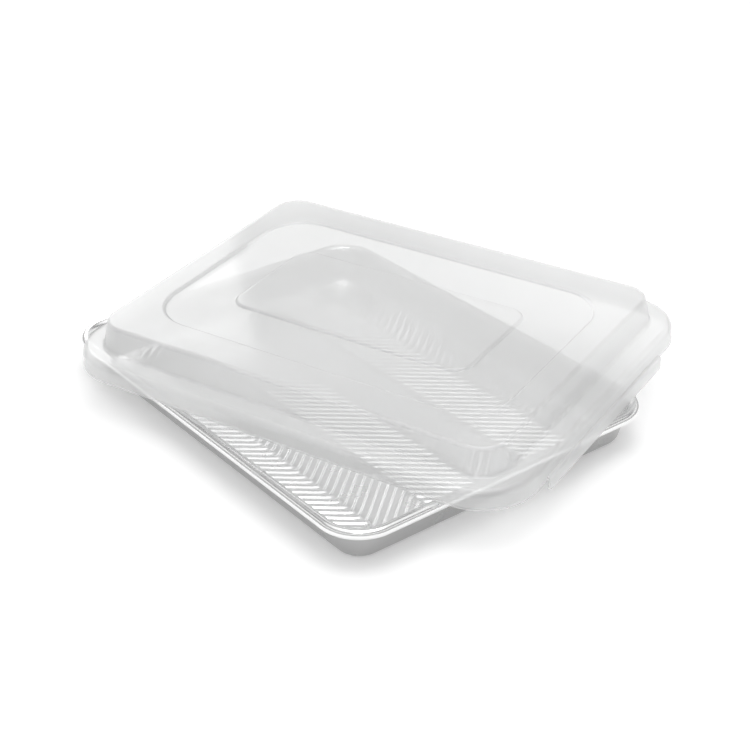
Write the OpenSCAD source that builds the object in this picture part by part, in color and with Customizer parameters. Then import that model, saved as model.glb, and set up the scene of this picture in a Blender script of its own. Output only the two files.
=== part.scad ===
// Shallow rectangular cake pan of drawn aluminium sheet, with a rolled rim and a
// herringbone floor, and its moulded plastic lid, which lies askew on the rim.
// Millimetres, +Z up. The origin is the middle of the pan's underside.

/* [Pan] */
// Length of the pan over its rolled rim
pan_len = 330; // [300:1:360]
// Width of the pan over its rolled rim
pan_wid = 252; // [230:1:270]
// Height of the pan to the top of its rim
pan_h = 28.5; // [24:0.5:34]
// Thickness of the aluminium sheet
sheet_t = 1.2; // [1.0:0.1:1.4]
// Corner radius of the rim, in plan
rim_corner_r = 29; // [26:1:34]
// Height of the rolled rim, outside
rim_roll_d = 6.8; // [6:0.2:7.6]
// Radius of the bend where the wall turns out into the rim
rim_shoulder_r = 4.2; // [3.6:0.2:5]
// Draft of the wall, from the vertical
wall_draft = 15.5; // [10:0.5:18]
// Bend radius between floor and wall
floor_bend_r = 6; // [4:0.5:7]

/* [Herringbone floor] */
// Distance between ribs, along the pan
rib_pitch = 7.1; // [6:0.1:9]
// Distance between the lines on which the ribs turn
rib_column = 40.5; // [38:0.5:43]
// Angle between a rib and the long side of the pan
rib_angle = 52; // [45:1:58]
// Width of a rib at its foot
rib_foot_w = 3.2; // [2.8:0.1:3.6]
// Width of a rib along its top
rib_top_w = 1.9; // [1.5:0.1:2.3]
// Height of a rib
rib_h = 0.8; // [0.5:0.1:1.2]

/* [Lid] */
// How far the lid's skirt stands out past the rim of the pan, on every side
lid_over = 5; // [3.5:0.5:6]
// Wall thickness of the lid
lid_t = 1.4; // [1.2:0.1:1.8]
// Height of the lid, without its end lips
lid_h = 31; // [28:0.5:36]
// How much larger the skirt's corner radius is than the rim's
lid_corner_more = 8; // [6:0.5:9]
// Height of the shelf around the lid
lid_shelf_z = 13; // [12:0.5:15]
// Radius of the rounded shoulder between shelf and skirt
lid_shoulder_r = 5; // [4:0.5:6]
// Width of the shelf, from the shoulder to the side wall
lid_shelf_w = 8; // [7:0.5:10]
// Draft of the side wall above the shelf, from the vertical
lid_side_draft = 12; // [8:1:16]
// Radius of the edge around the top
lid_top_r = 3; // [2.5:0.25:4]
// Width of the border at each end of the top
border_end = 17; // [14:0.5:22]
// Width of the border along each side of the top
border_side = 25; // [20:0.5:30]
// Corner radius of the sunk part of the top
sunk_r = 32; // [24:1:40]
// Depth of the sunk part of the top
sunk_h = 1.6; // [1:0.1:2.4]
// Width of the sunk ring around the raised panel
panel_margin = 40.5; // [34:0.5:46]
// Corner radius of the raised panel
panel_r = 13; // [8:0.5:18]
// Height of the raised panel above the sunk part
panel_h = 1.6; // [1:0.1:2.4]

/* [Lid lips] */
// Length of the lip at each short end
lip_len = 160; // [120:1:170]
// How far a lip hangs below the skirt
lip_drop = 7; // [4:0.5:8]
// How far a lip stands out past the skirt
lip_out = 2.5; // [1.5:0.5:4]

/* [Lid at rest] */
// Place of the lid's middle along the pan
lid_x = 1.5; // [1.5:0.5:4]
// Place of the lid's middle across the pan
lid_y = 23.5; // [18:0.5:28]
// Turn of the lid about the vertical
lid_turn = 19; // [17:0.5:21]

/* [Hidden] */
$fn = 48;
// Steps in a bend of a section, in the rolled edge and in a small bend
STEPS = 5;
ROLL_STEPS = 12;
SMALL_STEPS = 3;
// Level run at the ends of a swept section; a plate's edge lies halfway along it
TAIL = 1;

// Section of the pan's wall and rim, measured out from the centre of a corner
roll_r = rim_roll_d / 2 - sheet_t / 2;
roll_x = rim_corner_r - rim_roll_d / 2;
roll_z = pan_h - rim_roll_d / 2;
shoulder_z = roll_z + roll_r - rim_shoulder_r;
bend_r = floor_bend_r + sheet_t / 2;
wall_top = [
    roll_x - rim_shoulder_r * cos(wall_draft),
    shoulder_z + rim_shoulder_r * sin(wall_draft)
];
bend_top_z = sheet_t / 2 + bend_r - bend_r * sin(wall_draft);
bend_x = wall_top.x - (wall_top.y - bend_top_z) * tan(wall_draft) - bend_r * cos(wall_draft);
ROLL_START = 75;
ROLL_END = -145;
floor_l = pan_len - 2 * (rim_corner_r - bend_x);
floor_w = pan_wid - 2 * (rim_corner_r - bend_x);

// A rib is a foot with a narrower ridge on it. It is rooted in the floor and runs
// out into the bend around it, where the sheet has risen past the rib's top.
RIB_ROOT = 0.2;
RIB_COVER = 0.15;
rib_reach = sqrt(pow(floor_bend_r, 2) - pow(floor_bend_r - rib_h - RIB_COVER, 2));

// Section of the lid's wall, measured out from the centre of a corner
lid_l = pan_len + 2 * lid_over;
lid_w = pan_wid + 2 * lid_over;
lid_corner_r = rim_corner_r + lid_corner_more;
half_t = lid_t / 2;
EDGE_R = 1.6;
EDGE_TURN = 50;
FILLET_R = 2.5;
skirt_x = lid_corner_r - half_t;
shelf_cz = lid_shelf_z - half_t;
shoulder_c = [lid_corner_r - lid_shoulder_r, lid_shelf_z - lid_shoulder_r];
fillet_x = shoulder_c.x - lid_shelf_w;
side_foot = [
    fillet_x - (FILLET_R + half_t) * cos(lid_side_draft),
    shelf_cz + (FILLET_R + half_t) * (1 - sin(lid_side_draft))
];
top_bend_r = lid_top_r - half_t;
top_cz = lid_h - half_t;
side_top_z = top_cz - top_bend_r * (1 - sin(lid_side_draft));
top_bend_x = side_foot.x - (side_top_z - side_foot.y) * tan(lid_side_draft)
    - top_bend_r * cos(lid_side_draft);

// Rounded steps in the lid's top
STEP_TURN = 50;
// Share of a step's height that its two bends take
STEP_BENDS = 0.8;
top_flat_l = lid_l - 2 * (lid_corner_r - top_bend_x);
top_flat_w = lid_w - 2 * (lid_corner_r - top_bend_x);
sunk_l = top_flat_l - 2 * border_end;
sunk_w = top_flat_w - 2 * border_side;
sunk_cz = top_cz - sunk_h;
panel_l = sunk_l - 2 * panel_margin;
panel_w = sunk_w - 2 * panel_margin;
panel_cz = sunk_cz + panel_h;

// Lips at the short ends of the lid
LEDGE_Z = 2;
LEDGE_R = 1.3;
LIP_CORNER_R = 3;

// The lid at rest: both lips and the front of the skirt bear on the crest of the rim.
// Each contact is found in the lid's own plan, and the plane through them is level
// with the crest. The lid leans to the front, so a lip bears at its lower edge. The
// front bears where it crosses the rim's right side, if the lid leans to the right
// too, and otherwise where it crosses the rim's front.
REST_GAP = 0.1;
lip_x = lid_l / 2 + lip_out - half_t;
front_y = lid_w / 2 - half_t;
rim_x = pan_len / 2 - rim_roll_d / 2;
rim_y = pan_wid / 2 - rim_roll_d / 2;
right_x = lip_x - half_t;
left_x = lip_x + half_t;
right_y = (lid_x + right_x * cos(lid_turn) - rim_x) / sin(lid_turn);
left_y = (lid_x - left_x * cos(lid_turn) + rim_x) / sin(lid_turn);
skew = (left_y - right_y) / (right_x + left_x);
front_x = skew < 0
    ? (rim_x - lid_x - front_y * sin(lid_turn)) / cos(lid_turn)
    : (front_y * cos(lid_turn) - lid_y - rim_y) / sin(lid_turn);
rise_y = lip_drop / (front_y + right_y + skew * (right_x - front_x));
rise_x = skew * rise_y;
lid_z = pan_h + REST_GAP + lip_drop - rise_x * right_x - rise_y * right_y;

// Points of a bend, each with the normal to the left of the way it runs
function bend(cx, cz, r, from, to, n = STEPS) =
    let (side = to > from ? -1 : 1)
    [for (i = [0:n])
        let (a = from + (to - from) * i / n)
        [cx + r * cos(a), cz + r * sin(a), side * cos(a), side * sin(a)]];

// Outline of a strip of thickness t along a path of such points
function strip(path, t) = concat(
    [for (p = path) [p[0] + p[2] * t / 2, p[1] + p[3] * t / 2]],
    [for (i = [len(path) - 1:-1:0])
        let (p = path[i])
        [p[0] - p[2] * t / 2, p[1] - p[3] * t / 2]]
);

// Centres of corners are kept to hundredths, so that curved and straight runs meet
function hundredths(x) = round(100 * x) / 100;

// A section swept round a rounded rectangle; x is measured from a corner's centre
module sweep(l, w, r) {
    cx = hundredths(l / 2 - r);
    cy = hundredths(w / 2 - r);
    for (q = [0:3]) {
        sx = q == 0 || q == 3 ? 1 : -1;
        sy = q < 2 ? 1 : -1;
        translate([sx * cx, sy * cy, 0])
            rotate([0, 0, 90 * q])
                rotate_extrude(angle = 90)
                    children();
    }
    for (s = [0, 180]) {
        rotate([0, 0, s])
            translate([cx, cy, 0])
                rotate([90, 0, 0])
                    linear_extrude(2 * cy)
                        children();
        rotate([0, 0, s])
            translate([-cx, cy, 0])
                rotate([90, 0, 90])
                    linear_extrude(2 * cx)
                        children();
    }
}

// Rounded rectangle about the origin
module rounded(l, w, r) {
    edge_r = hundredths(r);
    cx = hundredths(l / 2 - r);
    cy = hundredths(w / 2 - r);
    square([2 * cx, 2 * (cy + edge_r)], center = true);
    square([2 * (cx + edge_r), 2 * cy], center = true);
    for (x = [-1, 1], y = [-1, 1])
        translate([x * cx, y * cy])
            circle(edge_r);
}

// Flat ring or plate between two rounded rectangles
module plate(z, t, l, w, r) {
    translate([0, 0, z])
        linear_extrude(t)
            rounded(l, w, r);
}

// Zigzags of the herringbone, w wide, from z0 to z1. Each turns back at every
// rib_column across the floor.
module ribs(w, z0, z1) {
    half_l = floor_l / 2 + rib_reach;
    half_w = floor_w / 2 + rib_reach;
    lean = rib_column / tan(rib_angle);
    run = w / sin(rib_angle) / 2;
    columns = ceil(half_w / rib_column);
    count = ceil((half_l + lean) / rib_pitch);
    translate([0, 0, z0])
        linear_extrude(z1 - z0)
            intersection() {
                rounded(2 * half_l, 2 * half_w, bend_x + rib_reach);
                for (i = [-count:count])
                    translate([i * rib_pitch, 0])
                        polygon(concat(
                            [for (k = [-columns:columns])
                                [(k % 2 == 0 ? lean / 2 : -lean / 2) + run, k * rib_column]],
                            [for (k = [columns:-1:-columns])
                                [(k % 2 == 0 ? lean / 2 : -lean / 2) - run, k * rib_column]]
                        ));
            }
}

// Wall and rim of the pan in section: floor bend, wall, rim shoulder, rolled edge
module pan_section() {
    polygon(strip(concat(
        [[bend_x - TAIL, sheet_t / 2, 0, 1]],
        bend(bend_x, sheet_t / 2 + bend_r, bend_r, -90, -wall_draft),
        bend(roll_x, shoulder_z, rim_shoulder_r, 180 - wall_draft, 90),
        bend(roll_x, roll_z, roll_r, ROLL_START, ROLL_END, ROLL_STEPS)
    ), sheet_t));
}

module pan() {
    color("Silver") {
        sweep(pan_len, pan_wid, rim_corner_r)
            pan_section();
        plate(0, sheet_t, floor_l - TAIL, floor_w - TAIL, bend_x - TAIL / 2);
        ribs(rib_foot_w, sheet_t - RIB_ROOT, sheet_t + rib_h / 2);
        ribs(rib_top_w, sheet_t + rib_h / 4, sheet_t + rib_h);
    }
}

// Wall of the lid in section: turned-out edge, skirt, shoulder, shelf, side, top edge
module lid_section() {
    foot_z = (EDGE_R + half_t) * sin(EDGE_TURN);
    polygon(strip(concat(
        bend(skirt_x + EDGE_R, foot_z, EDGE_R, 180 + EDGE_TURN, 180, SMALL_STEPS),
        bend(shoulder_c.x, shoulder_c.y, lid_shoulder_r - half_t, 0, 90),
        bend(fillet_x, shelf_cz + FILLET_R + half_t, FILLET_R + half_t, 270, 180 + lid_side_draft),
        bend(top_bend_x, top_cz - top_bend_r, top_bend_r, lid_side_draft, 90),
        [[top_bend_x - TAIL, top_cz, 0, -1]]
    ), lid_t));
}

// Bend radius and reach in plan of a rounded step of height h in the lid's top
function step_r(h) = STEP_BENDS * h / (2 * (1 - cos(STEP_TURN)));
function step_reach(h) =
    2 * step_r(h) * sin(STEP_TURN) + (1 - STEP_BENDS) * h / tan(STEP_TURN);

// Section of such a step, falling inwards from z, with its middle at x
module step_section(x, z, h) {
    r = step_r(h);
    out = x + step_reach(h) / 2;
    in = x - step_reach(h) / 2;
    polygon(strip(concat(
        [[out + TAIL, z, 0, -1]],
        bend(out, z - r, r, 90, 90 + STEP_TURN, SMALL_STEPS),
        bend(in, z - h + r, r, 270 + STEP_TURN, 270, SMALL_STEPS),
        [[in - TAIL, z - h, 0, -1]]
    ), lid_t));
}

// Level part of the lid's top, with the opening for what steps down or up inside it
module level(z, l, w, r, inner_l, inner_w, inner_r) {
    difference() {
        plate(z - half_t, lid_t, l, w, r);
        plate(z - lid_t, 2 * lid_t, inner_l, inner_w, inner_r);
    }
}

module lid_top() {
    sunk_edge = step_reach(sunk_h) + TAIL;
    panel_edge = step_reach(panel_h) + TAIL;
    level(top_cz, top_flat_l - TAIL, top_flat_w - TAIL, top_bend_x - TAIL / 2,
        sunk_l + sunk_edge, sunk_w + sunk_edge, sunk_r + sunk_edge / 2);
    sweep(sunk_l, sunk_w, sunk_r)
        step_section(sunk_r, top_cz, sunk_h);
    level(sunk_cz, sunk_l - sunk_edge, sunk_w - sunk_edge, sunk_r - sunk_edge / 2,
        panel_l + panel_edge, panel_w + panel_edge, panel_r + panel_edge / 2);
    sweep(panel_l, panel_w, panel_r)
        translate([0, sunk_cz])
            mirror([0, 1])
                step_section(panel_r, 0, panel_h);
    plate(panel_cz - half_t, lid_t, panel_l - panel_edge, panel_w - panel_edge,
        panel_r - panel_edge / 2);
}

// Lip at one short end: a ledge out from the foot of the skirt, then a wall down
module lip() {
    intersection() {
        rotate([90, 0, 0])
            linear_extrude(lip_len, center = true)
                polygon(strip(concat(
                    [[lid_l / 2 - lid_t, LEDGE_Z, 0, 1]],
                    bend(lip_x - LEDGE_R, LEDGE_Z - LEDGE_R, LEDGE_R, 90, 0),
                    [[lip_x, -lip_drop, 1, 0]]
                ), lid_t));
        translate([lid_l / 2 - 2 * lid_t, 0, 0])
            rotate([90, 0, 90])
                linear_extrude(lip_out + 3 * lid_t)
                    rounded(lip_len, 2 * lip_drop, LIP_CORNER_R);
    }
}

// The lid in its own frame: z is 0 at the foot of the skirt
module closed_lid() {
    sweep(lid_l, lid_w, lid_corner_r)
        lid_section();
    lid_top();
    for (s = [0, 180])
        rotate([0, 0, s])
            lip();
}

module lid() {
    color("WhiteSmoke")
        translate([lid_x, lid_y, lid_z])
            rotate([atan(rise_y), -atan(rise_x), lid_turn])
                closed_lid();
}

pan();
lid();
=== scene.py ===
"""Looks of a shallow cake pan with a rolled rim and a herringbone floor, and of its
milky lid, which lies askew on the rim. Metres, +Z up, in the frame of the CAD."""

import math
from itertools import pairwise

import bmesh
import bpy
from mathutils import Matrix, Vector


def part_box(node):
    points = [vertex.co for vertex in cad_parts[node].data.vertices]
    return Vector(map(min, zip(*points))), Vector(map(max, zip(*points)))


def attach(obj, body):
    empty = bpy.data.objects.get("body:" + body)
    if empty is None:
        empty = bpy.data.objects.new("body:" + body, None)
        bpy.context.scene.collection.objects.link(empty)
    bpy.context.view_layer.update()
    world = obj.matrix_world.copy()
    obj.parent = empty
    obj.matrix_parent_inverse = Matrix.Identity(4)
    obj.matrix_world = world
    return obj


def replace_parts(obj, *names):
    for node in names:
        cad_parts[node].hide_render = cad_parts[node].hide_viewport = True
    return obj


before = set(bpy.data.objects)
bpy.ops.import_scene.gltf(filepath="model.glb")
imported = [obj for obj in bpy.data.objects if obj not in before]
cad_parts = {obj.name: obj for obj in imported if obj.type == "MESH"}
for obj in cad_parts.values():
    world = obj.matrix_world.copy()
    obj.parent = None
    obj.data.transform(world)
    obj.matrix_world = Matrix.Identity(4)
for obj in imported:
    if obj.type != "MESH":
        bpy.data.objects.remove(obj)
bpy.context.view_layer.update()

# Pan
PAN_LOW, PAN_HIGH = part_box("pan")
PAN_LEN = PAN_HIGH.x - PAN_LOW.x
PAN_WID = PAN_HIGH.y - PAN_LOW.y
PAN_H = PAN_HIGH.z - PAN_LOW.z
SHEET = 0.0012
RIM_CORNER_R = 0.029
RIM_ROLL_D = 0.0068
RIM_SHOULDER_R = 0.0042
WALL_DRAFT = 15.5
FLOOR_BEND_R = 0.006
ROLL_START = 75
ROLL_END = -145

# Herringbone floor
RIB_PITCH = 0.0071
RIB_COLUMN = 0.0405
RIB_ANGLE = 52
RIB_H = 0.0008
RIB_COVER = 0.00015
RIB_LINES = 14
TURN_R = 0.0016
TURN_ROWS = (-0.005, -0.003, -0.0018, -0.0008, 0, 0.0008, 0.0018, 0.003, 0.005)

# Lid, in its own frame, where z is 0 at the foot of the skirt
LID_OVER = 0.005
LID_T = 0.0014
LID_H = 0.031
LID_CORNER_R = RIM_CORNER_R + 0.008
SHELF_Z = 0.013
SHOULDER_R = 0.005
SHELF_W = 0.008
SIDE_DRAFT = 12
TOP_R = 0.003
FILLET_R = 0.0025
EDGE_R = 0.0016
EDGE_TURN = 50
BORDER_END = 0.017
BORDER_SIDE = 0.025
SUNK_R = 0.032
STEP_H = 0.0016
STEP_TURN = 50
STEP_BENDS = 0.8
PANEL_MARGIN = 0.0405
PANEL_R = 0.013
LIP_LEN = 0.160
LIP_DROP = 0.007
LIP_OUT = 0.0025
LEDGE_Z = 0.002
LEDGE_R = 0.0013
LIP_CORNER_R = 0.003

# Lid at rest
LID_X = 0.0015
LID_Y = 0.0235
LID_TURN = math.radians(19)
REST_GAP = 0.0001

# Fineness of the meshes
CORNER_STEPS = 24
BEND_STEPS = 10
ROLL_STEPS = 36
SUPPORT = 0.001

# Aluminium: its two clouded tones, and a painted shade on the outside, where the attribute is 1:
# a darker colour that stands in for the shaded floor the outer wall reflects
METAL_DARK = (0.87, 0.87, 0.87, 1)
METAL_PALE = (0.92, 0.92, 0.92, 1)
METAL_PAINTED_SHADE = (0.52, 0.52, 0.52, 1)
PAINTED_SHADE_SIDE = "painted_shade_side"

# Plastic: its body, the share of light that goes through the body, and the clear part
MILK = (0.935, 0.935, 0.935, 1)
MILK_GLOW = 0.4
CLEAR = (0.99, 0.992, 0.992, 1)

# How much of the lid's surface hides what is behind it, seen square on and edge on
MILK_FACE = 0.32
MILK_EDGE = 0.62

# Floor: its colour, and the share of its white that does not depend on the light on it
FLOOR_WHITE = (0.9, 0.9, 0.9, 1)
FLOOR_LIFT = 0.22
FLOOR_SIZE = 6

# Range of a noise texture's values that is spread out
NOISE_LOW = 0.3
NOISE_HIGH = 0.7


def bend(cx, cz, r, start, end, steps=BEND_STEPS):
    """Points of an arc in a section, each with the normal to the left of the way it runs."""
    side = -1 if end > start else 1
    points = []
    for i in range(steps + 1):
        a = math.radians(start + (end - start) * i / steps)
        c = math.cos(a)
        s = math.sin(a)
        points.append((cx + r * c, cz + r * s, side * c, side * s))
    return points


def shifted(path, offset):
    """The path's points moved along their normals."""
    return [(x + nx * offset, z + nz * offset) for x, z, nx, nz in path]


def round_edge(point, radius, way, steps=6):
    """Points round the edge of a sheet, from the right to the left of the path. The edge
    looks along the path's direction for way 1 and against it for way -1."""
    x, z, nx, nz = point
    points = []
    for i in range(1, steps):
        a = math.pi * i / steps
        along = way * radius * math.sin(a)
        across = -radius * math.cos(a)
        points.append((x + nx * across + nz * along, z + nz * across - nx * along))
    return points


def ring(corner, r, z):
    """Points round a rounded rectangle whose corner centres are at plus and minus corner."""
    points = []
    for quarter in range(4):
        sx = 1 if quarter in (0, 3) else -1
        sy = 1 if quarter < 2 else -1
        for i in range(CORNER_STEPS + 1):
            a = math.radians(90 * (quarter + i / CORNER_STEPS))
            points.append((sx * corner[0] + r * math.cos(a), sy * corner[1] + r * math.sin(a), z))
    return points


def loft(bm, rings):
    """Joins rings of points in turn, and returns the first and last ring's vertices."""
    loops = [[bm.verts.new(p) for p in points] for points in rings]
    for low, high in pairwise(loops):
        for i in range(len(low)):
            j = (i + 1) % len(low)
            bm.faces.new((low[i], low[j], high[j], high[i]))
    return loops[0], loops[-1]


def piece(name, bm, material, sharp_angle=40):
    """Makes the mesh an object that rides with the part and shows smooth bends."""
    mesh = bpy.data.meshes.new(name)
    bm.to_mesh(mesh)
    bm.free()
    mesh.materials.append(material)
    mesh.shade_smooth()
    mesh.set_sharp_from_angle(angle=math.radians(sharp_angle))
    obj = bpy.data.objects.new(name, mesh)
    bpy.context.scene.collection.objects.link(obj)
    weighted = obj.modifiers.new("weighted", "WEIGHTED_NORMAL")
    weighted.keep_sharp = True
    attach(obj, "root")
    return obj


# Section of the pan's wall and rim, measured out from the centre of a corner
ROLL_R = (RIM_ROLL_D - SHEET) / 2
ROLL_X = RIM_CORNER_R - RIM_ROLL_D / 2
ROLL_Z = PAN_H - RIM_ROLL_D / 2
SHOULDER_Z = ROLL_Z + ROLL_R - RIM_SHOULDER_R
BEND_R = FLOOR_BEND_R + SHEET / 2
DRAFT = math.radians(WALL_DRAFT)
WALL_TOP_X = ROLL_X - RIM_SHOULDER_R * math.cos(DRAFT)
WALL_TOP_Z = SHOULDER_Z + RIM_SHOULDER_R * math.sin(DRAFT)
BEND_TOP_Z = SHEET / 2 + BEND_R * (1 - math.sin(DRAFT))
BEND_X = WALL_TOP_X - (WALL_TOP_Z - BEND_TOP_Z) * math.tan(DRAFT) - BEND_R * math.cos(DRAFT)
PAN_CORNER = (PAN_LEN / 2 - RIM_CORNER_R, PAN_WID / 2 - RIM_CORNER_R)


def pan_shell(material):
    """Sheet of the pan: flat underside, floor bend, wall, shoulder and rolled edge."""
    path = [(BEND_X - SUPPORT, SHEET / 2, 0, 1)]
    path += bend(BEND_X, SHEET / 2 + BEND_R, BEND_R, -90, -WALL_DRAFT)
    path += bend(ROLL_X, SHOULDER_Z, RIM_SHOULDER_R, 180 - WALL_DRAFT, 90)
    path += bend(ROLL_X, ROLL_Z, ROLL_R, ROLL_START, ROLL_END, ROLL_STEPS)
    outside = shifted(path, -SHEET / 2)
    edge = round_edge(path[-1], SHEET / 2, 1)
    inside = reversed(shifted(path[1:], SHEET / 2))
    rings = [ring(PAN_CORNER, x, z) for x, z in [*outside, *edge, *inside]]
    bm = bmesh.new()
    painted_shade = bm.verts.layers.float.new(PAINTED_SHADE_SIDE)
    first, last = loft(bm, rings)
    bm.faces.new(reversed(first))
    # The outside vertices get the attribute that paints shade onto the pan's outer wall
    bm.verts.ensure_lookup_table()
    for vert in bm.verts[: len(outside) * len(rings[0])]:
        vert[painted_shade] = 1
    return piece("pan_shell", bm, material)


def rib_height(distance):
    """Height of the pressed relief at a distance from the middle of a rib."""
    wave = RIB_PITCH * math.sin(math.radians(RIB_ANGLE))
    share = min(2 * distance / wave, 1)
    return RIB_H * (1 + math.cos(math.pi * share)) / 2


def pan_floor(material):
    """Floor with its zigzag ribs, which run out into the bend around it."""
    reach = math.sqrt(FLOOR_BEND_R**2 - (FLOOR_BEND_R - RIB_H - RIB_COVER) ** 2)
    edge_r = BEND_X + reach
    half_l = PAN_CORNER[0] + edge_r
    half_w = PAN_CORNER[1] + edge_r
    angle = math.radians(RIB_ANGLE)
    lean = RIB_COLUMN / math.tan(angle)
    columns = math.ceil(half_w / RIB_COLUMN)
    ribs = math.ceil((half_l + lean) / RIB_PITCH)
    bm = bmesh.new()
    rows = []
    for k in range(-columns, columns + 1):
        way = 1 if k % 2 == 0 else -1
        for y in TURN_ROWS:
            near = math.hypot(y, TURN_R)
            turn = way * (lean / 2 - (near - TURN_R) / math.tan(angle))
            width = 1 / math.hypot(1, y / near / math.tan(angle))
            row = []
            for i in range(-ribs * RIB_LINES, ribs * RIB_LINES + 1):
                along = i / RIB_LINES * RIB_PITCH
                across = abs(along - round(along / RIB_PITCH) * RIB_PITCH) * width
                spot = (turn + along, k * RIB_COLUMN + y, SHEET + rib_height(across))
                row.append(bm.verts.new(spot))
            rows.append(row)
    for low, high in pairwise(rows):
        for (a, b), (c, d) in zip(pairwise(low), pairwise(high)):
            bm.faces.new((a, b, d, c))
    outline = ring(PAN_CORNER, edge_r, 0)
    for (ax, ay, _), (bx, by, _) in zip(outline, outline[1:] + outline[:1]):
        bmesh.ops.bisect_plane(
            bm,
            geom=bm.verts[:] + bm.edges[:] + bm.faces[:],
            plane_co=(ax, ay, 0),
            plane_no=(by - ay, ax - bx, 0),
            clear_outer=True,
        )
    return piece("pan_floor", bm, material, sharp_angle=30)


# Section of the lid's wall, measured out from the centre of a corner
HALF_T = LID_T / 2
LID_LEN = PAN_LEN + 2 * LID_OVER
LID_WID = PAN_WID + 2 * LID_OVER
SKIRT_X = LID_CORNER_R - HALF_T
SHELF_CZ = SHELF_Z - HALF_T
SHOULDER_X = LID_CORNER_R - SHOULDER_R
FILLET_X = SHOULDER_X - SHELF_W
LEAN_IN = math.radians(SIDE_DRAFT)
SIDE_FOOT_X = FILLET_X - (FILLET_R + HALF_T) * math.cos(LEAN_IN)
SIDE_FOOT_Z = SHELF_CZ + (FILLET_R + HALF_T) * (1 - math.sin(LEAN_IN))
TOP_BEND_R = TOP_R - HALF_T
TOP_CZ = LID_H - HALF_T
SIDE_TOP_Z = TOP_CZ - TOP_BEND_R * (1 - math.sin(LEAN_IN))
TOP_BEND_X = (
    SIDE_FOOT_X
    - (SIDE_TOP_Z - SIDE_FOOT_Z) * math.tan(LEAN_IN)
    - TOP_BEND_R * math.cos(LEAN_IN)
)
LID_CORNER = (LID_LEN / 2 - LID_CORNER_R, LID_WID / 2 - LID_CORNER_R)
SUNK_CORNER = (
    LID_CORNER[0] + TOP_BEND_X - BORDER_END - SUNK_R,
    LID_CORNER[1] + TOP_BEND_X - BORDER_SIDE - SUNK_R,
)
PANEL_CORNER = (
    SUNK_CORNER[0] + SUNK_R - PANEL_MARGIN - PANEL_R,
    SUNK_CORNER[1] + SUNK_R - PANEL_MARGIN - PANEL_R,
)


def lid_wall():
    """Path of the lid's wall: turned-out foot, skirt, shoulder, shelf, side, top edge."""
    foot_z = (EDGE_R + HALF_T) * math.sin(math.radians(EDGE_TURN))
    path = bend(SKIRT_X + EDGE_R, foot_z, EDGE_R, 180 + EDGE_TURN, 180, 5)
    path += bend(SHOULDER_X, SHELF_Z - SHOULDER_R, SHOULDER_R - HALF_T, 0, 90, 14)
    fillet = FILLET_R + HALF_T
    path += bend(FILLET_X, SHELF_CZ + fillet, fillet, 270, 180 + SIDE_DRAFT)
    path += bend(TOP_BEND_X, TOP_CZ - TOP_BEND_R, TOP_BEND_R, SIDE_DRAFT, 90)
    return path + [(TOP_BEND_X - SUPPORT, TOP_CZ, 0, -1)]


def lid_step(x, z, h, steps=6):
    """Path of a rounded step in the top, from its outer level at z to z - h inside it."""
    r = STEP_BENDS * abs(h) / (2 * (1 - math.cos(math.radians(STEP_TURN))))
    turn = math.radians(STEP_TURN)
    reach = 2 * r * math.sin(turn) + (1 - STEP_BENDS) * abs(h) / math.tan(turn)
    out = x + reach / 2
    inner = x - reach / 2
    path = [(out + SUPPORT, z, 0, -1)]
    if h > 0:
        path += bend(out, z - r, r, 90, 90 + STEP_TURN, steps)
        path += bend(inner, z - h + r, r, 270 + STEP_TURN, 270, steps)
    else:
        path += bend(out, z + r, r, 270, 270 - STEP_TURN, steps)
        path += bend(inner, z - h - r, r, 90 - STEP_TURN, 90, steps)
    return path + [(inner - SUPPORT, z - h, 0, -1)]


def seat():
    """Place of the lid at rest. Both lips and the front of the skirt bear on the rim's crest."""
    lip_x = LID_LEN / 2 + LIP_OUT - HALF_T
    front_y = LID_WID / 2 - HALF_T
    rim_x = PAN_LEN / 2 - RIM_ROLL_D / 2
    c = math.cos(LID_TURN)
    s = math.sin(LID_TURN)
    right_x = lip_x - HALF_T
    left_x = lip_x + HALF_T
    right_y = (LID_X + right_x * c - rim_x) / s
    left_y = (LID_X - left_x * c + rim_x) / s
    front_x = (rim_x - LID_X - front_y * s) / c
    skew = (left_y - right_y) / (right_x + left_x)
    rise_y = LIP_DROP / (front_y + right_y + skew * (right_x - front_x))
    rise_x = skew * rise_y
    z = PAN_H + REST_GAP + LIP_DROP - rise_x * right_x - rise_y * right_y
    turn = Matrix.Rotation(LID_TURN, 4, "Z")
    pitch = Matrix.Rotation(-math.atan(rise_x), 4, "Y")
    roll = Matrix.Rotation(math.atan(rise_y), 4, "X")
    return Matrix.Translation((LID_X, LID_Y, z)) @ turn @ pitch @ roll


def add_lip(bm, way):
    """Lip at one short end: a ledge out from the foot of the skirt, then a wall down."""
    lip_x = LID_LEN / 2 + LIP_OUT - HALF_T
    path = [(LID_LEN / 2 - HALF_T, LEDGE_Z, 0, 1)]
    path += bend(lip_x - LEDGE_R, LEDGE_Z - LEDGE_R, LEDGE_R, 90, 0, 6)
    stations = []
    for i in range(7):
        a = math.radians(15 * i)
        y = LIP_LEN / 2 - LIP_CORNER_R * (1 - math.sin(a))
        lift = LIP_CORNER_R * (1 - math.cos(a))
        stations.append((y, lift))
    stations = [(-y, lift) for y, lift in reversed(stations)] + stations
    sides = []
    for offset in (HALF_T, -HALF_T):
        columns = []
        for y, lift in stations:
            points = shifted(path + [(lip_x, lift - LIP_DROP, 1, 0)], offset)
            columns.append([bm.verts.new((way * x, way * y, z)) for x, z in points])
        sides.append(columns)
    outer, inner = sides
    for (a, b), (c, d) in zip(pairwise(outer), pairwise(inner)):
        for i in range(len(a) - 1):
            bm.faces.new((a[i], a[i + 1], b[i + 1], b[i]))
            bm.faces.new((c[i + 1], c[i], d[i], d[i + 1]))
        bm.faces.new((a[-1], c[-1], d[-1], b[-1]))
        bm.faces.new((c[0], a[0], b[0], d[0]))
    for front, back in ((outer[0], inner[0]), (inner[-1], outer[-1])):
        for i in range(len(front) - 1):
            bm.faces.new((front[i + 1], front[i], back[i], back[i + 1]))


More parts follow.
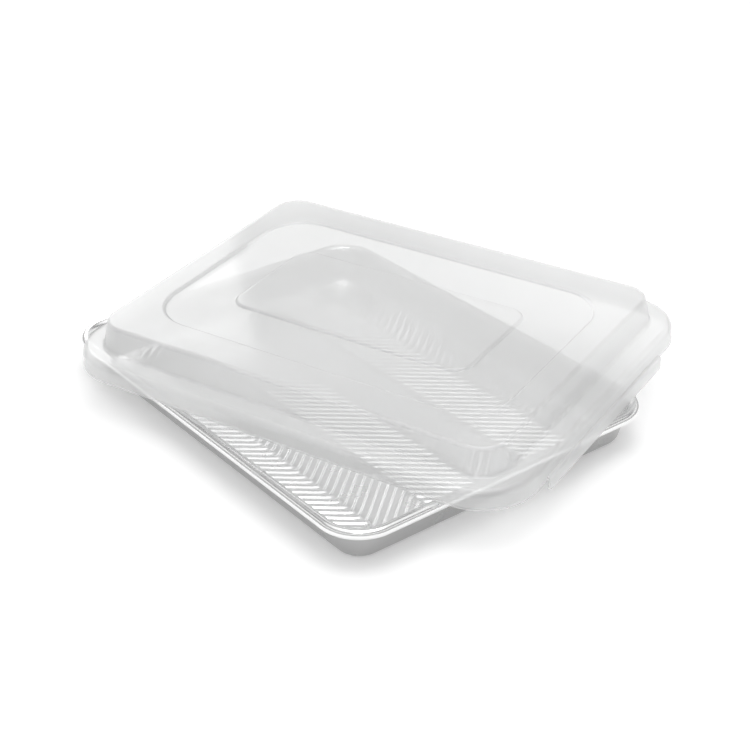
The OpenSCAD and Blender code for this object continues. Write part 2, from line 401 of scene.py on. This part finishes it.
def lid_body(material):
    """Lid of even thickness, closed all round, with its two lips."""
    wall = lid_wall()
    top = [
        (LID_CORNER, wall),
        (SUNK_CORNER, lid_step(SUNK_R, TOP_CZ, STEP_H)),
        (PANEL_CORNER, lid_step(PANEL_R, TOP_CZ - STEP_H, -STEP_H)),
    ]
    inner = [ring(c, x, z) for c, path in top for x, z in shifted(path, HALF_T)]
    foot = [ring(LID_CORNER, x, z) for x, z in reversed(round_edge(wall[0], HALF_T, -1))]
    outer = [ring(c, x, z) for c, path in top for x, z in shifted(path, -HALF_T)]
    bm = bmesh.new()
    first, last = loft(bm, inner[::-1] + foot + outer)
    bm.faces.new(reversed(first))
    bm.faces.new(last)
    for way in (1, -1):
        add_lip(bm, way)
    bm.transform(seat())
    return piece("lid_body", bm, material)


def new_material(name):
    """A node material, its node tree and its main shader."""
    material = bpy.data.materials.new(name)
    material.use_nodes = True
    tree = material.node_tree
    return material, tree, tree.nodes["Principled BSDF"]


def noise(tree, scale, detail):
    """Noise in the piece's own metres; returns its value socket."""
    place = tree.nodes.new("ShaderNodeTexCoord")
    texture = tree.nodes.new("ShaderNodeTexNoise")
    texture.inputs["Scale"].default_value = scale
    texture.inputs["Detail"].default_value = detail
    tree.links.new(place.outputs["Object"], texture.inputs["Vector"])
    return texture.outputs["Fac"]


def spread(tree, value, low, high):
    """Maps a noise value to the range from low to high."""
    node = tree.nodes.new("ShaderNodeMapRange")
    node.inputs["From Min"].default_value = NOISE_LOW
    node.inputs["From Max"].default_value = NOISE_HIGH
    node.inputs["To Min"].default_value = low
    node.inputs["To Max"].default_value = high
    tree.links.new(value, node.inputs["Value"])
    return node.outputs["Result"]


def bump(tree, value, distance):
    """Bump from a height value; returns its normal socket."""
    node = tree.nodes.new("ShaderNodeBump")
    node.inputs["Strength"].default_value = 1.0
    node.inputs["Distance"].default_value = distance
    tree.links.new(value, node.inputs["Height"])
    return node.outputs["Normal"]


def aluminium():
    """Bare drawn aluminium: satin, faintly cloudy and wavy, with painted shade on its outside,
    where the colour is darker to stand in for a shaded reflection.
    """
    material, tree, shader = new_material("aluminium")
    shader.inputs["Metallic"].default_value = 1.0
    cloud = spread(tree, noise(tree, 22, 4), 0.0, 1.0)
    tone = tree.nodes.new("ShaderNodeMix")
    tone.data_type = "RGBA"
    tone.inputs["A"].default_value = METAL_DARK
    tone.inputs["B"].default_value = METAL_PALE
    tree.links.new(cloud, tone.inputs["Factor"])
    # Painted shade: where the attribute is 1, the outer wall takes the darker colour instead of
    # the metal's own tone
    side = tree.nodes.new("ShaderNodeAttribute")
    side.attribute_name = PAINTED_SHADE_SIDE
    both = tree.nodes.new("ShaderNodeMix")
    both.data_type = "RGBA"
    both.inputs["B"].default_value = METAL_PAINTED_SHADE
    tree.links.new(side.outputs["Fac"], both.inputs["Factor"])
    tree.links.new(tone.outputs["Result"], both.inputs["A"])
    tree.links.new(both.outputs["Result"], shader.inputs["Base Color"])
    rough = spread(tree, noise(tree, 60, 3), 0.24, 0.28)
    tree.links.new(rough, shader.inputs["Roughness"])
    tree.links.new(bump(tree, noise(tree, 200, 1), 0.00001), shader.inputs["Normal"])
    return material


def milky_plastic():
    """Milky moulded plastic: partly clear, with a gloss, and a body that light goes through."""
    material, tree, shader = new_material("milky_plastic")
    shader.inputs["Base Color"].default_value = MILK
    shader.inputs["IOR"].default_value = 1.49
    shader.inputs["Specular IOR Level"].default_value = 1.0
    shader.inputs["Coat Weight"].default_value = 1.0
    shader.inputs["Coat IOR"].default_value = 1.8
    shader.inputs["Coat Roughness"].default_value = 0.07
    rough = spread(tree, noise(tree, 60, 4), 0.1, 0.16)
    tree.links.new(rough, shader.inputs["Roughness"])
    wave = bump(tree, noise(tree, 35, 2), 0.0002)
    tree.links.new(wave, shader.inputs["Normal"])
    glow = tree.nodes.new("ShaderNodeBsdfTranslucent")
    glow.inputs["Color"].default_value = MILK
    clear = tree.nodes.new("ShaderNodeBsdfTransparent")
    clear.inputs["Color"].default_value = CLEAR
    milk = tree.nodes.new("ShaderNodeMixShader")
    milk.inputs["Fac"].default_value = MILK_GLOW
    tree.links.new(shader.outputs["BSDF"], milk.inputs[1])
    tree.links.new(glow.outputs["BSDF"], milk.inputs[2])
    edge = tree.nodes.new("ShaderNodeLayerWeight")
    edge.inputs["Blend"].default_value = 0.5
    haze = tree.nodes.new("ShaderNodeMapRange")
    haze.inputs["To Min"].default_value = MILK_FACE
    haze.inputs["To Max"].default_value = MILK_EDGE
    tree.links.new(edge.outputs["Facing"], haze.inputs["Value"])
    see = tree.nodes.new("ShaderNodeMixShader")
    tree.links.new(haze.outputs["Result"], see.inputs["Fac"])
    tree.links.new(clear.outputs["BSDF"], see.inputs[1])
    tree.links.new(milk.outputs["Shader"], see.inputs[2])
    tree.links.new(see.outputs["Shader"], tree.nodes["Material Output"].inputs["Surface"])
    return material


def floor_material():
    """White floor that stays white to the eye and keeps the object's shadow."""
    material, tree, shader = new_material("white_floor")
    shader.inputs["Base Color"].default_value = FLOOR_WHITE
    shader.inputs["Roughness"].default_value = 0.9
    shader.inputs["Specular IOR Level"].default_value = 0.0
    rays = tree.nodes.new("ShaderNodeLightPath")
    seen = tree.nodes.new("ShaderNodeMath")
    seen.operation = "MAXIMUM"
    tree.links.new(rays.outputs["Is Camera Ray"], seen.inputs[0])
    tree.links.new(rays.outputs["Is Transmission Ray"], seen.inputs[1])
    also = tree.nodes.new("ShaderNodeMath")
    also.operation = "MAXIMUM"
    tree.links.new(seen.outputs[0], also.inputs[0])
    tree.links.new(rays.outputs["Is Glossy Ray"], also.inputs[1])
    lift = tree.nodes.new("ShaderNodeMath")
    lift.operation = "MULTIPLY"
    lift.inputs[1].default_value = FLOOR_LIFT
    tree.links.new(also.outputs[0], lift.inputs[0])
    shader.inputs["Emission Color"].default_value = (1, 1, 1, 1)
    tree.links.new(lift.outputs[0], shader.inputs["Emission Strength"])
    return material


def studio_floor():
    """Plain floor under the object."""
    bm = bmesh.new()
    bmesh.ops.create_grid(bm, x_segments=8, y_segments=8, size=FLOOR_SIZE)
    mesh = bpy.data.meshes.new("studio_floor")
    bm.to_mesh(mesh)
    bm.free()
    mesh.materials.append(floor_material())
    obj = bpy.data.objects.new("studio_floor", mesh)
    bpy.context.scene.collection.objects.link(obj)


# Brightness of the surroundings against the sine of the height above the horizon
SKY = (
    (0.0, 0.2),
    (0.28, 0.5),
    (0.40, 1.1),
    (0.54, 1.1),
    (0.60, 0.1),
    (0.70, 0.1),
    (0.77, 0.95),
    (1.0, 1.0),
)


def studio_world():
    """Pale wall all round and a pale ceiling, with a dark gap between them."""
    world = bpy.data.worlds.new("studio")
    bpy.context.scene.world = world
    world.use_nodes = True
    tree = world.node_tree
    place = tree.nodes.new("ShaderNodeTexCoord")
    split = tree.nodes.new("ShaderNodeSeparateXYZ")
    ramp = tree.nodes.new("ShaderNodeValToRGB")
    stops = ramp.color_ramp.elements
    for position, _ in SKY[1:-1]:
        stops.new(position)
    for stop, (position, value) in zip(stops, SKY):
        stop.position = position
        stop.color = (value, value, value, 1)
    tree.links.new(place.outputs["Generated"], split.inputs["Vector"])
    tree.links.new(split.outputs["Z"], ramp.inputs["Fac"])
    tree.links.new(ramp.outputs["Color"], tree.nodes["Background"].inputs["Color"])


def lamp(name, place, size, power, aim=(0, 0, 0.02)):
    """Square soft lamp at a place, turned to a point."""
    data = bpy.data.lights.new(name, "AREA")
    data.size = size
    data.energy = power
    obj = bpy.data.objects.new(name, data)
    obj.location = place
    obj.rotation_mode = "QUATERNION"
    obj.rotation_quaternion = (Vector(aim) - Vector(place)).to_track_quat("-Z", "Y")
    bpy.context.scene.collection.objects.link(obj)


def studio_lamps():
    """A large soft lamp overhead, a weak one behind the left side and a small one in front."""
    lamp("overhead", (0.2, 0.0, 1.8), 1.2, 9)
    lamp("front", (0.9, -0.75, 1.1), 0.2, 0.8)
    lamp("back_left", (-1.53, 0.47, 0.8), 0.6, 2)


# Camera: azimuth and elevation of the photograph, in degrees
AZIMUTH = 51.79
ELEVATION = 29.56
TARGET = Vector((0.02389, 0.00286, 0.030))
DISTANCE = 1.02945
FRAME_PX = 750
FOCAL_PX = 1543
SENSOR_MM = 36


def camera():
    """Camera at the photograph's viewing angle."""
    a = math.radians(AZIMUTH)
    e = math.radians(ELEVATION)
    back = Vector((math.sin(a) * math.cos(e), -math.cos(a) * math.cos(e), math.sin(e)))
    data = bpy.data.cameras.new("camera")
    data.sensor_width = SENSOR_MM
    data.lens = FOCAL_PX / FRAME_PX * SENSOR_MM
    data.clip_start = 0.05
    data.clip_end = 50
    obj = bpy.data.objects.new("camera", data)
    obj.location = TARGET + back * DISTANCE
    obj.rotation_mode = "QUATERNION"
    obj.rotation_quaternion = (-back).to_track_quat("-Z", "Y")
    bpy.context.scene.collection.objects.link(obj)
    bpy.context.scene.camera = obj


metal = aluminium()
shell = pan_shell(metal)
pan_floor(metal)
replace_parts(shell, "pan")
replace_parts(lid_body(milky_plastic()), "lid")
studio_floor()
studio_world()
studio_lamps()
camera()
bpy.context.scene.view_settings.view_transform = "Standard"
